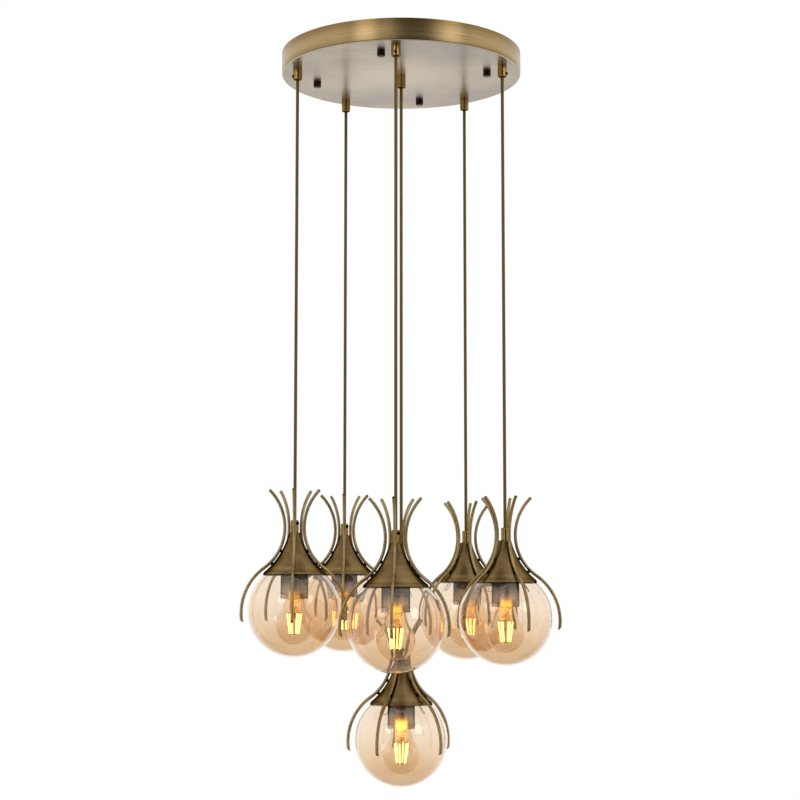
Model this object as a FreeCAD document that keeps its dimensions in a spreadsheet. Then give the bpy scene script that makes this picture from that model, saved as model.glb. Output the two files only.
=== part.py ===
import FreeCAD, Part
import math
import os
import re
import Sketcher

# Cluster pendant ceiling light: a round canopy, five glass globe pendants on a ring and a sixth, hung lower,
# at the centre. Millimetres. The origin is the centre of the canopy's open face, which lies on the ceiling,
# and +Z is up. Each pendant is drawn once, about its own rim plane, and placed six times.

os.makedirs("parts", exist_ok=True)
V = FreeCAD.Vector
doc = FreeCAD.newDocument("cluster_pendant")
sheet = doc.addObject("Spreadsheet::Sheet", "Sizes")

# The driving sizes: name, value, what it is
SIZES = [
    ("canopy_dia", 400, "outer diameter of the spun canopy"),
    ("canopy_depth", 36, "depth of the canopy below the ceiling"),
    ("canopy_wall", 1.2, "sheet thickness of the canopy"),
    ("canopy_edge", 2.0, "rounding between the rim and the plate"),
    ("ring_inset", 22.6, "outer cord grips in from the edge of the canopy"),
    ("ring_turn", -2.7, "turn of that circle about Z, degrees"),
    ("stud_inset", 54, "canopy studs in from the edge of the canopy"),
    ("stud_turn", -12.7, "turn of that circle about Z, degrees"),
    ("stud_dia", 4, "canopy stud"),
    ("stud_play", 0.25, "gap round a stud in the canopy plate"),
    ("nut_dia", 13, "round cap nut on a canopy stud"),
    ("nut_len", 9, "length of a cap nut"),
    ("nut_bevel", 1.2, "bevel at the free end of a cap nut"),
    ("nut_grip", 6.5, "length of stud inside a cap nut"),
    ("bracket_width", 26, "width of the ceiling bracket's bars"),
    ("bracket_thick", 2, "thickness of the ceiling bracket"),
    ("bracket_past", 10, "bar beyond the stud circle"),
    ("screw_ring_dia", 130, "circle of the ceiling screw holes"),
    ("screw_hole_dia", 5.5, "ceiling screw hole"),
    ("supply_dia", 14, "hole for the supply cable"),
    ("block_long", 58, "terminal block along its bar"),
    ("block_wide", 19, "terminal block across its bar"),
    ("block_high", 16, "terminal block below the bracket"),
    ("block_inset", 46, "centre of the terminal block in from a stud"),
    ("block_pole_dia", 4.2, "wire entry of the terminal block"),
    ("block_pole_gap", 14, "pitch of the wire entries"),
    ("grip_dia", 14.6, "cord grip"),
    ("grip_len", 19, "cord grip below the canopy plate"),
    ("grip_bevel", 0.9, "bevel at the free end of a grip"),
    ("grip_mouth", 0.5, "bevel at the mouth of a grip's bore"),
    ("grip_screw_dia", 5, "side screw of a grip"),
    ("grip_screw_rise", 5.2, "side screw from the free end of a grip"),
    ("grip_screw_out", 2, "side screw standing out of the grip"),
    ("thread_dia", 10, "threaded stem and threaded tube"),
    ("thread_play", 0.15, "gap round a thread in a clearance hole"),
    ("stem_len", 9, "threaded stem above the canopy plate"),
    ("hex_flats", 13, "lock nut across its flats"),
    ("hex_thick", 3.2, "lock nut thickness"),
    ("cord_dia", 5.2, "cord"),
    ("cord_play", 0.35, "gap round the cord in a bore"),
    ("cord_tuck", 1.0, "cord inside the mouth of its cord grip"),
    ("cord_seat", 9, "cord inside its neck grip"),
    ("seat_gap", 0.3, "gap where a part that comes off seats"),
    ("neck_dia", 12.6, "neck grip"),
    ("neck_len", 20, "neck grip above the cap"),
    ("neck_thread", 8, "threaded tube inside the neck grip"),
    ("neck_web", 2.4, "web between the neck grip's two bores"),
    ("cap_high", 67, "flared cap, rim to top"),
    ("cap_rim_dia", 102, "flared cap at its rim"),
    ("skirt_taper", 4, "flared cap narrower at the top of its rim skirt"),
    ("cap_skirt_high", 4, "height of the rim skirt"),
    ("cap_flare", 116, "radius of the flare, seen from the side"),
    ("cap_shoulder_dia", 21, "flared cap below its top shoulder"),
    ("cap_shoulder_high", 3.5, "height of the top shoulder"),
    ("cap_top_dia", 17, "flat top of the flared cap"),
    ("cap_wall", 1.0, "flared cap wall, measured level"),
    ("arm_dia", 5, "arm tube"),
    ("arm_bore", 3.8, "bore of the arm tube"),
    ("arm_count", 5, "arms of a pendant"),
    ("arm_waist", 16.4, "arm centre line from the axis at its waist"),
    ("arm_waist_high", 74.9, "waist of the arms above the rim"),
    ("arm_top_bend", 83.5, "bend above the waist"),
    ("arm_top_high", 135, "tips of the arms above the rim"),
    ("arm_low_bend", 77.9, "bend below the waist"),
    ("arm_low_angle", 55.1, "lean of the arm where it turns back, degrees"),
    ("arm_hug_bend", 87.6, "bend round the globe"),
    ("arm_foot_drop", 73.5, "foot of the arms below the rim, on the centre line"),
    ("arm_foot_angle", 40, "slope of the cut foot, degrees"),
    ("foot_spare", 2, "arm drawn on below its foot, before the cut"),
    ("pin_dia", 3.4, "pin between an arm and the cap"),
    ("pin_high", 39, "upper pin on the arm's centre line, above the rim"),
    ("pin_low", 19.5, "lower pin on the arm's centre line, above the rim"),
    ("pin_start", 1.1, "pin's outer end from the arm's centre line"),
    ("pin_long", 7.4, "length of a pin"),
    ("collar_dia", 5.4, "collar of a pin between the arm and the cap"),
    ("collar_play", 0.05, "gap between a collar and the arm"),
    ("collar_high", 1.45, "height of an upper pin's collar"),
    ("collar_low", 1.8, "height of a lower pin's collar"),
    ("globe_dia", 150, "glass globe"),
    ("globe_wall", 2, "glass thickness of the globe"),
    ("mouth_level", 5.15, "mouth of the globe above the rim"),
    ("plate_dia", 54, "spring plate"),
    ("plate_thick", 1, "spring plate thickness"),
    ("plate_high", 9, "underside of the spring plate above the rim"),
    ("wire_dia", 0.8, "globe spring wire"),
    ("wire_pair", 10, "distance between a spring's two legs"),
    ("wire_root", 23, "spring legs from the axis at the plate"),
    ("wire_drop", 9, "lowest reach of a spring below the rim"),
    ("wire_play", 0.2, "gap between a spring and the mouth"),
    ("wire_bend", 3, "bends of the spring wire"),
    ("spring_count", 3, "springs of a pendant"),
    ("spring_turn", 30, "turn of the springs against the arms, degrees"),
    ("cup_dia", 44, "lamp holder cup"),
    ("cup_wall", 0.8, "lamp holder cup wall"),
    ("cup_drop", 38.5, "lower edge of the cup below the rim"),
    ("core_dia", 37, "lamp holder core"),
    ("core_collar_dia", 16, "collar of the core round the threaded tube"),
    ("core_collar", 5, "height of the collar"),
    ("core_roof", 9, "core above the lamp's contact"),
    ("tube_bore", 7, "bore of the threaded tube"),
    ("tube_low", 0.5, "end of the threaded tube above the rim"),
    ("lamp_cap_dia", 26, "screw cap of the lamp"),
    ("lamp_cap_play", 0.3, "gap round the screw cap in the core"),
    ("lamp_cap_high", 24, "screw cap of the lamp, contact left out"),
    ("lamp_cap_bevel", 3, "bevel of the screw cap at its contact"),
    ("lamp_tip_dia", 9.5, "end contact of the lamp"),
    ("lamp_tip_high", 2.2, "height of the end contact"),
    ("lamp_tip_bevel", 1, "bevel of the end contact"),
    ("lamp_dia", 60, "glass of the lamp"),
    ("lamp_wall", 0.8, "glass thickness of the lamp"),
    ("lamp_neck_dia", 31, "neck of the lamp's glass"),
    ("lamp_round_angle", 35, "where the round part meets the neck curve, degrees"),
    ("lamp_mouth_dia", 25, "glass at the screw cap"),
    ("lamp_mouth_high", 3.4, "tapered glass below the screw cap"),
    ("stick_count", 6, "filament sticks"),
    ("stick_dia", 1.9, "filament stick"),
    ("stick_long", 32, "filament stick"),
    ("stick_top", 11.5, "stick from the axis at its upper end"),
    ("stick_lean_angle", 7.5, "lean of a stick towards the axis, degrees"),
    ("stick_level", 30, "upper ends of the sticks below the screw cap"),
    ("mount_dia", 7, "glass stem that carries the sticks"),
    ("mount_long", 24, "length of that stem"),
    ("mount_taper", 6, "length of its tapered end"),
    ("lead_root", 2, "leads above the end of the stem"),
    ("lead_past", 1, "middle lead past the feet of the sticks"),
    ("lead_dia", 1.0, "lead wire to a stick"),
    ("hang_1", 868.3, "rim of pendant 1 below the ceiling"),
    ("hang_2", 867.2, "rim of pendant 2 below the ceiling"),
    ("hang_3", 887.9, "rim of pendant 3 below the ceiling"),
    ("hang_4", 879.7, "rim of pendant 4 below the ceiling"),
    ("hang_5", 880.8, "rim of pendant 5 below the ceiling"),
    ("hang_6", 1076.5, "rim of pendant 6 below the ceiling"),
    ("place_turn_1", 198, "pendant 1 round the ring, degrees"),
    ("place_turn_2", 126, "pendant 2 round the ring, degrees"),
    ("place_turn_3", 270, "pendant 3 round the ring, degrees"),
    ("place_turn_4", 54, "pendant 4 round the ring, degrees"),
    ("place_turn_5", 342, "pendant 5 round the ring, degrees"),
    ("face_turn_1", 271, "direction of one arm of pendant 1, degrees"),
    ("face_turn_2", 270, "direction of one arm of pendant 2, degrees"),
    ("face_turn_3", 266, "direction of one arm of pendant 3, degrees"),
    ("face_turn_4", 293, "direction of one arm of pendant 4, degrees"),
    ("face_turn_5", 291, "direction of one arm of pendant 5, degrees"),
    ("face_turn_6", 316, "direction of one arm of pendant 6, degrees"),
    ("neck_turn", 40, "direction of the neck screw against the arms, degrees"),
]

# Sizes that follow from the driving ones
DERIVED = [
    ("ring_dia", "canopy_dia - 2 * ring_inset"),
    ("stud_ring_dia", "canopy_dia - 2 * stud_inset"),
    ("block_out", "stud_ring_dia / 2 - block_inset"),
    ("cap_skirt_dia", "cap_rim_dia - skirt_taper"),
    ("globe_drop", "sqrt((globe_dia / 2 + seat_gap)^2 - (cap_rim_dia / 2 - cap_wall)^2)"),
    ("globe_mouth", "2 * sqrt((globe_dia / 2)^2 - (mouth_level + globe_drop)^2)"),
    ("mouth_bore", "sqrt((globe_dia / 2 - globe_wall)^2 - (mouth_level + globe_drop)^2)"),
    ("wire_reach", "mouth_bore - wire_play - wire_dia / 2"),
    ("turn_r", "arm_waist + arm_low_bend * (1 - cos(arm_low_angle))"),
    ("turn_level", "arm_waist_high - arm_low_bend * sin(arm_low_angle)"),
    ("hug_r", "turn_r - arm_hug_bend * cos(arm_low_angle)"),
    ("hug_level", "turn_level - arm_hug_bend * sin(arm_low_angle)"),
    ("arm_top_sweep", "asin((arm_top_high - arm_waist_high) / arm_top_bend) / 1 deg"),
    ("arm_hug_sweep", "arm_low_angle + asin((hug_level - arm_foot_low) / arm_hug_bend) / 1 deg"),
    ("arm_foot_low", "-arm_foot_drop - arm_dia / 2 * tan(arm_foot_angle) - foot_spare"),
    ("arm_cut_r", "hug_r + sqrt(arm_hug_bend^2 - (arm_foot_drop + hug_level)^2)"),
    ("pin_high_lean", "asin((arm_waist_high - pin_high) / arm_low_bend) / 1 deg"),
    ("pin_low_lean", "asin((arm_waist_high - pin_low) / arm_low_bend) / 1 deg"),
    ("tip_level", "core_roof_low - seat_gap"),
    ("core_top", "plate_high - cup_wall"),
    ("core_roof_low", "core_top - core_collar - core_roof"),
    ("lamp_cap_top", "tip_level - lamp_tip_high"),
    ("lamp_cap_low", "lamp_cap_top - lamp_cap_high"),
    ("neck_curve", "(lamp_dia / 2 * cos(lamp_round_angle) - lamp_neck_dia / 2) / (1 - cos(lamp_round_angle))"),
    ("neck_low", "lamp_cap_low - lamp_mouth_high"),
    ("round_level", "neck_low - neck_curve * sin(lamp_round_angle)"),
    ("lamp_centre", "round_level - lamp_dia / 2 * sin(lamp_round_angle)"),
    ("cord_top", "-canopy_depth - grip_len + cord_tuck"),
    ("stick_high", "lamp_cap_low - stick_level"),
    ("stick_foot", "stick_high - stick_long * cos(stick_lean_angle)"),
    ("stick_foot_r", "stick_top - stick_long * sin(stick_lean_angle)"),
]

NAMES = [row[0] for row in SIZES] + [row[0] for row in DERIVED]
WORD = re.compile(r"\b(" + "|".join(sorted(NAMES, key=len, reverse=True)) + r")\b")


def fill_sheet():
    """Writes each driving size as a plain number and each derived one as a formula, all with an alias."""
    line = 1
    for name, value, note in SIZES:
        sheet.set(f"A{line}", note)
        sheet.set(f"B{line}", str(value))
        sheet.setAlias(f"B{line}", name)
        line += 1
    for name, formula in DERIVED:
        sheet.set(f"A{line}", name.replace("_", " "))
        sheet.setAlias(f"B{line}", name)
        line += 1
    line = len(SIZES) + 1
    for name, formula in DERIVED:
        sheet.set(f"B{line}", "=" + formula)
        line += 1
    doc.recompute()


def bound(text):
    """The same expression with every size read from the sheet."""
    return WORD.sub(r"Sizes.\1", str(text))


def num(text):
    """The present value of an expression of sizes."""
    value = sheet.evalExpression(bound(text))
    return float(getattr(value, "Value", value))


def bind(thing, prop, text):
    thing.setExpression(prop, bound(text))


def axis_of(body, role):
    return [f for f in body.Origin.OriginFeatures if f.Role == role][0]


def new_body(name):
    body = doc.addObject("PartDesign::Body", name)
    body.AllowCompound = True
    return body


def put_sketch(body, name, role):
    sketch = body.newObject("Sketcher::SketchObject", name)
    sketch.AttachmentSupport = (axis_of(body, role), [""])
    sketch.MapMode = "FlatFace"
    return sketch


def pin_point(sketch, geo, end, across, up):
    """Ties one point of a sketch to the sheet, measured from the sketch's origin."""
    for axis, kind, text in ((-2, "DistanceX", across), (-1, "DistanceY", up)):
        value = num(text)
        if abs(value) < 1e-9:
            sketch.addConstraint(Sketcher.Constraint("PointOnObject", geo, end, axis))
        else:
            row = sketch.addConstraint(Sketcher.Constraint(kind, -1, 1, geo, end, value))
            bind(sketch, f"Constraints[{row}]", text)


def arc_between(start, finish, radius, side):
    """The short arc from start to finish. Its centre is on the left of the way for side 1, right for -1."""
    chord = finish.sub(start)
    half = chord.Length / 2
    rise = math.sqrt(max(radius * radius - half * half, 0))
    left = V(-chord.y, chord.x, 0).normalize()
    centre = start.add(finish).multiply(0.5).add(left.multiply(rise * side))
    circle = Part.Circle(centre, V(0, 0, 1), radius)
    first = math.atan2(start.y - centre.y, start.x - centre.x)
    last = math.atan2(finish.y - centre.y, finish.x - centre.x)
    if side > 0:
        return Part.ArcOfCircle(circle, first, last), (1, 2)
    return Part.ArcOfCircle(circle, last, first), (2, 1)


def draw_chain(sketch, corners, closed=True):
    """Draws lines and arcs through the corners. A corner is (across, up) or (across, up, radius, side)
    where an arc leaves it. Every corner and every radius is tied to the sheet."""
    spots = [V(num(c[0]), num(c[1]), 0) for c in corners]
    count = len(corners) if closed else len(corners) - 1
    ends = []
    for i in range(count):
        start, finish = spots[i], spots[(i + 1) % len(spots)]
        if len(corners[i]) > 2:
            curve, order = arc_between(start, finish, num(corners[i][2]), corners[i][3])
        else:
            curve, order = Part.LineSegment(start, finish), (1, 2)
        ends.append((sketch.addGeometry(curve, False), order))
    for i in range(count - 1 if not closed else count):
        here, after = ends[i], ends[(i + 1) % count]
        sketch.addConstraint(Sketcher.Constraint("Coincident", here[0], here[1][1], after[0], after[1][0]))
    for i in range(count):
        geo, order = ends[i]
        pin_point(sketch, geo, order[0], corners[i][0], corners[i][1])
        if len(corners[i]) > 2:
            row = sketch.addConstraint(Sketcher.Constraint("Radius", geo, num(corners[i][2])))
            bind(sketch, f"Constraints[{row}]", corners[i][2])
    if not closed:
        geo, order = ends[-1]
        pin_point(sketch, geo, order[1], corners[-1][0], corners[-1][1])
    return sketch


def draw_circle(sketch, across, up, radius):
    geo = sketch.addGeometry(Part.Circle(V(num(across), num(up), 0), V(0, 0, 1), num(radius)), False)
    pin_point(sketch, geo, 3, across, up)
    row = sketch.addConstraint(Sketcher.Constraint("Radius", geo, num(radius)))
    bind(sketch, f"Constraints[{row}]", radius)


def turned(body, name, corners, off_axis=None):
    """A revolved profile, about Z or about an upright line at off_axis."""
    sketch = draw_chain(put_sketch(body, name + "_profile", "XZ_Plane"), corners)
    solid = body.newObject("PartDesign::Revolution", name)
    solid.Profile = sketch
    if off_axis is None:
        solid.ReferenceAxis = (axis_of(body, "Z_Axis"), [""])
    else:
        line = Part.LineSegment(V(num(off_axis), -1, 0), V(num(off_axis), 1, 0))
        geo = sketch.addGeometry(line, True)
        pin_point(sketch, geo, 1, off_axis, "-1")
        pin_point(sketch, geo, 2, off_axis, "1")
        solid.ReferenceAxis = (sketch, ["Axis0"])
    solid.Angle = 360
    return solid


def padded(body, name, sketch, length, down=False, cut=False):
    solid = body.newObject("PartDesign::Pocket" if cut else "PartDesign::Pad", name)
    solid.Profile = sketch
    bind(solid, "Length", length)
    solid.Reversed = down
    return solid


def set_offset(sketch, base, lean="0"):
    """Moves a sketch from its plane to base and tips it by lean degrees about Y."""
    spot = V(*[num(b) for b in base])
    sketch.AttachmentOffset = FreeCAD.Placement(spot, FreeCAD.Rotation(V(0, 1, 0), num(lean) or 1e-3))
    for prop, text in zip("xyz", base):
        bind(sketch, f"AttachmentOffset.Base.{prop}", text)
    bind(sketch, "AttachmentOffset.Rotation.Angle", lean)


def rod(body, name, radius, height, base, lean="0", cut=False):
    """A round rod or hole of some height from base, tipped by lean degrees about Y from upright."""
    sketch = put_sketch(body, name + "_outline", "XY_Plane")
    set_offset(sketch, base, lean)
    draw_circle(sketch, "0", "0", radius)
    return padded(body, name, sketch, height, down=cut, cut=cut)


def ringed(body, name, features, count):
    ring = body.newObject("PartDesign::PolarPattern", name)
    ring.Originals = features
    ring.Axis = (axis_of(body, "Z_Axis"), [""])
    ring.Angle = 360
    bind(ring, "Occurrences", count)
    body.Tip = ring
    return ring


def place(thing, x, y, z, turn):
    thing.Placement = FreeCAD.Placement(V(num(x), num(y), num(z)), FreeCAD.Rotation(V(0, 0, 1), num(turn)))
    for prop, text in (("x", x), ("y", y), ("z", z)):
        bind(thing, f"Placement.Base.{prop}", text)
    bind(thing, "Placement.Rotation.Angle", turn)


nodes = []


def node(name, pieces, spot=("0", "0", "0", "0")):
    """One sub-part: its pieces, kept as separate solids, under its own label and placement."""
    part = doc.addObject("Part::Compound", name)
    part.Label = name
    part.Links = pieces
    place(part, *spot)
    nodes.append(part)
    return part


fill_sheet()

# The canopy: a spun pan, open to the ceiling, with six cord holes and four stud holes in its plate
pan = new_body("pan")
turned(pan, "pan_shell", [
    ("0", "-canopy_depth"),
    ("canopy_dia / 2 - canopy_edge", "-canopy_depth", "canopy_edge", 1),
    ("canopy_dia / 2", "-canopy_depth + canopy_edge"),
    ("canopy_dia / 2", "0"),
    ("canopy_dia / 2 - canopy_wall", "0"),
    ("canopy_dia / 2 - canopy_wall", "-canopy_depth + canopy_edge", "canopy_edge - canopy_wall", -1),
    ("canopy_dia / 2 - canopy_edge", "-canopy_depth + canopy_wall"),
    ("0", "-canopy_depth + canopy_wall"),
])
holes = put_sketch(pan, "pan_holes_outline", "XY_Plane")
for n in range(1, 6):
    draw_circle(holes, f"ring_dia / 2 * cos(place_turn_{n} + ring_turn)",
                f"ring_dia / 2 * sin(place_turn_{n} + ring_turn)", "thread_dia / 2 + thread_play")
draw_circle(holes, "0", "0", "thread_dia / 2 + thread_play")
for n in range(4):
    draw_circle(holes, f"stud_ring_dia / 2 * cos({90 * n} + stud_turn)",
                f"stud_ring_dia / 2 * sin({90 * n} + stud_turn)", "stud_dia / 2 + stud_play")
padded(pan, "pan_holes", holes, "canopy_depth + 1", cut=True)
node("canopy_pan", [pan])

# The ceiling bracket: a cross of flat bar with four screw holes, a cable hole and four welded studs
cross = new_body("cross")
half = "bracket_width / 2"
reach = "stud_ring_dia / 2 + bracket_past"
outline = []
for a, b in ((1, 1), (-1, 1), (-1, -1), (1, -1)):
    steps = [(f"{a} * ({reach})", f"{b} * {half}"), (f"{a} * {half}", f"{b} * {half}"),
             (f"{a} * {half}", f"{b} * ({reach})")]
    outline += steps if a * b > 0 else steps[::-1]
bars = draw_chain(put_sketch(cross, "bars_outline", "XY_Plane"), outline)
padded(cross, "bars", bars, "bracket_thick", down=True)
drilled = put_sketch(cross, "drilled_outline", "XY_Plane")
for a, b in ((1, 0), (0, 1), (-1, 0), (0, -1)):
    draw_circle(drilled, f"{a} * screw_ring_dia / 2", f"{b} * screw_ring_dia / 2", "screw_hole_dia / 2")
draw_circle(drilled, "0", "0", "supply_dia / 2")
padded(cross, "drilled", drilled, "bracket_thick + 1", cut=True)
stud = rod(cross, "stud", "stud_dia / 2", "canopy_depth + nut_grip - bracket_thick",
           ("stud_ring_dia / 2", "0", "-canopy_depth - nut_grip"))
ringed(cross, "studs", [stud], "4")
node("ceiling_bracket", [cross], ("0", "0", "0", "stud_turn"))

# Four round cap nuts hold the canopy up on the studs
caps = new_body("round_nuts")
axis = "stud_ring_dia / 2"
nut = turned(caps, "round_nut", [
    (axis, "-canopy_depth - nut_len"),
    (f"{axis} + nut_dia / 2 - nut_bevel", "-canopy_depth - nut_len"),
    (f"{axis} + nut_dia / 2", "-canopy_depth - nut_len + nut_bevel"),
    (f"{axis} + nut_dia / 2", "-canopy_depth"),
    (f"{axis} + stud_dia / 2", "-canopy_depth"),
    (f"{axis} + stud_dia / 2", "-canopy_depth - nut_grip"),
    (axis, "-canopy_depth - nut_grip"),
], axis)
ringed(caps, "nut_ring", [nut], "4")
node("cap_nuts", [caps], ("0", "0", "0", "stud_turn"))


def grip_profile(axis):
    """Half section of a cord grip: a round barrel below the plate and a threaded stem through it."""
    bore = f"{axis} + cord_dia / 2 + cord_play"
    return [
        (f"{bore} + grip_mouth", "-canopy_depth - grip_len"),
        (f"{axis} + grip_dia / 2 - grip_bevel", "-canopy_depth - grip_len"),
        (f"{axis} + grip_dia / 2", "-canopy_depth - grip_len + grip_bevel"),
        (f"{axis} + grip_dia / 2", "-canopy_depth"),
        (f"{axis} + thread_dia / 2", "-canopy_depth"),
        (f"{axis} + thread_dia / 2", "-canopy_depth + canopy_wall + stem_len"),
        (bore, "-canopy_depth + canopy_wall + stem_len"),
        (bore, "-canopy_depth - grip_len + grip_mouth"),
    ]


def hex_sketch(body, name, centre, bore):
    """A hexagon with a round hole, centred on the X axis."""
    sketch = put_sketch(body, name, "XY_Plane")
    corners = [(f"{centre} + hex_flats / sqrt(3) * cos({60 * k})", f"hex_flats / sqrt(3) * sin({60 * k})")
               for k in range(6)]
    draw_chain(sketch, corners)
    draw_circle(sketch, centre, "0", bore)
    return sketch


# Six cord grips, one at the centre and five on the ring, each with its lock nut above the plate
screw_level = "-canopy_depth - grip_len + grip_screw_rise"
grips = new_body("grips")
turned(grips, "middle_grip", grip_profile("0"))
rod(grips, "middle_screw_hole", "grip_screw_dia / 2", "grip_dia", ("0", "0", screw_level), "-90", cut=True)
ring_grip = turned(grips, "ring_grip", grip_profile("ring_dia / 2"), "ring_dia / 2")
ring_hole = rod(grips, "ring_screw_hole", "grip_screw_dia / 2", "grip_dia", ("ring_dia / 2", "0", screw_level),
                "90", cut=True)
ringed(grips, "grip_ring", [ring_grip, ring_hole], "5")
lock_nuts = new_body("lock_nuts")
for tag, centre in (("middle", "0"), ("ring", "ring_dia / 2")):
    shape = hex_sketch(lock_nuts, tag + "_hex", centre, "thread_dia / 2")
    bind(shape, "AttachmentOffset.Base.z", "-canopy_depth + canopy_wall")
    hexagon = padded(lock_nuts, tag + "_nut", shape, "hex_thick")
ringed(lock_nuts, "lock_ring", [hexagon], "5")
node("cord_grips", [grips, lock_nuts], ("0", "0", "0", "place_turn_3 + ring_turn"))

# The side screw of each cord grip
screws = new_body("grip_screw_set")
screw_from = "cord_dia / 2 + cord_play"
screw_long = "grip_dia / 2 + grip_screw_out - cord_dia / 2 - cord_play"
rod(screws, "middle_screw", "grip_screw_dia / 2", screw_long, (f"-({screw_from})", "0", screw_level), "-90")
ring_screw = rod(screws, "ring_screw", "grip_screw_dia / 2", screw_long,
                 (f"ring_dia / 2 + {screw_from}", "0", screw_level), "90")
ringed(screws, "screw_ring", [ring_screw], "5")
node("grip_screws", [screws], ("0", "0", "0", "place_turn_3 + ring_turn"))

# The terminal block under one bar of the bracket, with a row of wire entries
block = new_body("block")
box = put_sketch(block, "block_outline", "XY_Plane")
low, high = "block_out - block_long / 2", "block_out + block_long / 2"
draw_chain(box, [(low, "-block_wide / 2"), (high, "-block_wide / 2"), (high, "block_wide / 2"),
                 (low, "block_wide / 2")])
bind(box, "AttachmentOffset.Base.z", "-bracket_thick")
padded(block, "block_body", box, "block_high", down=True)
entries = put_sketch(block, "entries_outline", "XZ_Plane")
for k in (-1, 0, 1):
    draw_circle(entries, f"block_out + {k} * block_pole_gap", "-bracket_thick - block_high / 2",
                "block_pole_dia / 2")
wires = padded(block, "entries", entries, "block_wide + 2", cut=True)
wires.Midplane = True
node("terminal_block", [block], ("0", "0", "0", "stud_turn"))

# The neck grip: it screws onto the threaded tube above the cap and holds the cord with a side screw
neck = new_body("neck")
neck_bore = "cord_dia / 2 + cord_play"
turned(neck, "neck_barrel", [
    ("thread_dia / 2", "cap_high"),
    ("neck_dia / 2", "cap_high"),
    ("neck_dia / 2", "cap_high + neck_len - grip_bevel"),
    ("neck_dia / 2 - grip_bevel", "cap_high + neck_len"),
    (f"{neck_bore} + grip_mouth", "cap_high + neck_len"),
    (neck_bore, "cap_high + neck_len - grip_mouth"),
    (neck_bore, "cap_high + neck_thread + neck_web"),
    ("tube_bore / 2 - 1", "cap_high + neck_thread + neck_web"),
    ("tube_bore / 2 - 1", "cap_high + neck_thread"),
    ("thread_dia / 2", "cap_high + neck_thread"),
])
neck_screw_level = "cap_high + neck_len - grip_screw_rise"
rod(neck, "neck_screw_hole", "grip_screw_dia / 2", "neck_dia", ("0", "0", neck_screw_level), "90", cut=True)
neck_screw = new_body("neck_screw")
neck_screw_long = "neck_dia / 2 + grip_screw_out - cord_dia / 2 - cord_play"
rod(neck_screw, "neck_screw_rod", "grip_screw_dia / 2", neck_screw_long, (screw_from, "0", neck_screw_level), "90")

# The flared cap: a thin spun trumpet with a short rim skirt and a hole for each pin
cap = new_body("cap")
turned(cap, "cap_shell", [
    ("thread_dia / 2 + thread_play", "cap_high - cap_wall"),
    ("thread_dia / 2 + thread_play", "cap_high"),
    ("cap_top_dia / 2", "cap_high", "cap_shoulder_high * 1.25", -1),
    ("cap_shoulder_dia / 2", "cap_high - cap_shoulder_high", "cap_flare", 1),
    ("cap_skirt_dia / 2", "cap_skirt_high"),
    ("cap_rim_dia / 2", "0"),
    ("cap_rim_dia / 2 - cap_wall", "0"),
    ("cap_skirt_dia / 2 - cap_wall", "cap_skirt_high", "cap_flare", -1),
    ("cap_shoulder_dia / 2 - cap_wall", "cap_high - cap_shoulder_high"),
    ("cap_top_dia / 2 - cap_wall / 2", "cap_high - cap_wall"),
])


def pin_rods(body, grow, cut):
    """The two pins of one arm, or their holes, square to the arm's centre line."""
    rods = []
    for tag in ("high", "low"):
        lean = f"pin_{tag}_lean"
        start = "0" if cut else "pin_start"
        r = f"arm_waist + arm_low_bend - (arm_low_bend + {start}) * cos({lean})"
        z = f"arm_waist_high - (arm_low_bend + {start}) * sin({lean})"
        length = f"pin_start + pin_long + {grow}" if cut else "pin_long"
        rods.append(rod(body, f"pin_{tag}_{'hole' if cut else 'rod'}", "pin_dia / 2", length, (r, "0", z),
                        f"-90 - {lean}", cut=cut))
    return rods


ringed(cap, "cap_holes", pin_rods(cap, "2", True), "arm_count")



def bend(name, r, z, lean, across, sweep, back=False):
    """One bend of an arm: the tube's ring section, turned about a level axis through the bend's centre."""
    sketch = put_sketch(arms, name + "_section", "XY_Plane")
    set_offset(sketch, (r, "0", z), lean)
    draw_circle(sketch, across, "0", "arm_dia / 2")
    draw_circle(sketch, across, "0", "arm_bore / 2")
    solid = arms.newObject("PartDesign::Revolution", name)
    solid.Profile = sketch
    solid.ReferenceAxis = (sketch, ["V_Axis"])
    solid.Reversed = back
    bind(solid, "Angle", sweep)
    return solid


# Five bent arm tubes: flared above the waist, following the cap, then bent round the globe
arms = new_body("arm_set")
bends = [
    bend("arm_flare", "arm_waist + arm_top_bend", "arm_waist_high", "0", "-arm_top_bend", "arm_top_sweep"),
    bend("arm_slope", "arm_waist + arm_low_bend", "arm_waist_high", "0", "-arm_low_bend", "arm_low_angle", True),
    bend("arm_hug", "hug_r", "hug_level", "-arm_low_angle", "arm_hug_bend", "arm_hug_sweep"),
]
foot_plan = put_sketch(arms, "foot_cut_outline", "XZ_Plane")
draw_chain(foot_plan, [
    ("arm_cut_r - arm_dia", "-arm_foot_drop - arm_dia * tan(arm_foot_angle)"),
    ("arm_cut_r - arm_dia", "-arm_foot_drop - arm_dia * 3"),
    ("arm_cut_r + arm_dia", "-arm_foot_drop - arm_dia * 3"),
    ("arm_cut_r + arm_dia", "-arm_foot_drop + arm_dia * tan(arm_foot_angle)"),
])
foot = padded(arms, "foot_cut", foot_plan, "arm_dia * 2", cut=True)
foot.Midplane = True
arm_holes = pin_rods(arms, "0", True)
ringed(arms, "arm_ring", bends + [foot] + arm_holes, "arm_count")

# Ten pins, two to an arm, from the bore of the arm through the wall of the cap, each with a collar in the gap
pins = new_body("pin_set")
pin_parts = pin_rods(pins, "0", False)
for tag in ("high", "low"):
    lean = f"pin_{tag}_lean"
    out = "arm_low_bend + arm_dia / 2 + collar_play"
    spot = (f"arm_waist + arm_low_bend - ({out}) * cos({lean})", "0", f"arm_waist_high - ({out}) * sin({lean})")
    pin_parts.append(rod(pins, f"collar_{tag}_disc", "collar_dia / 2", f"collar_{tag}", spot, f"-90 - {lean}"))
ringed(pins, "pin_ring", pin_parts, "arm_count")

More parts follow.
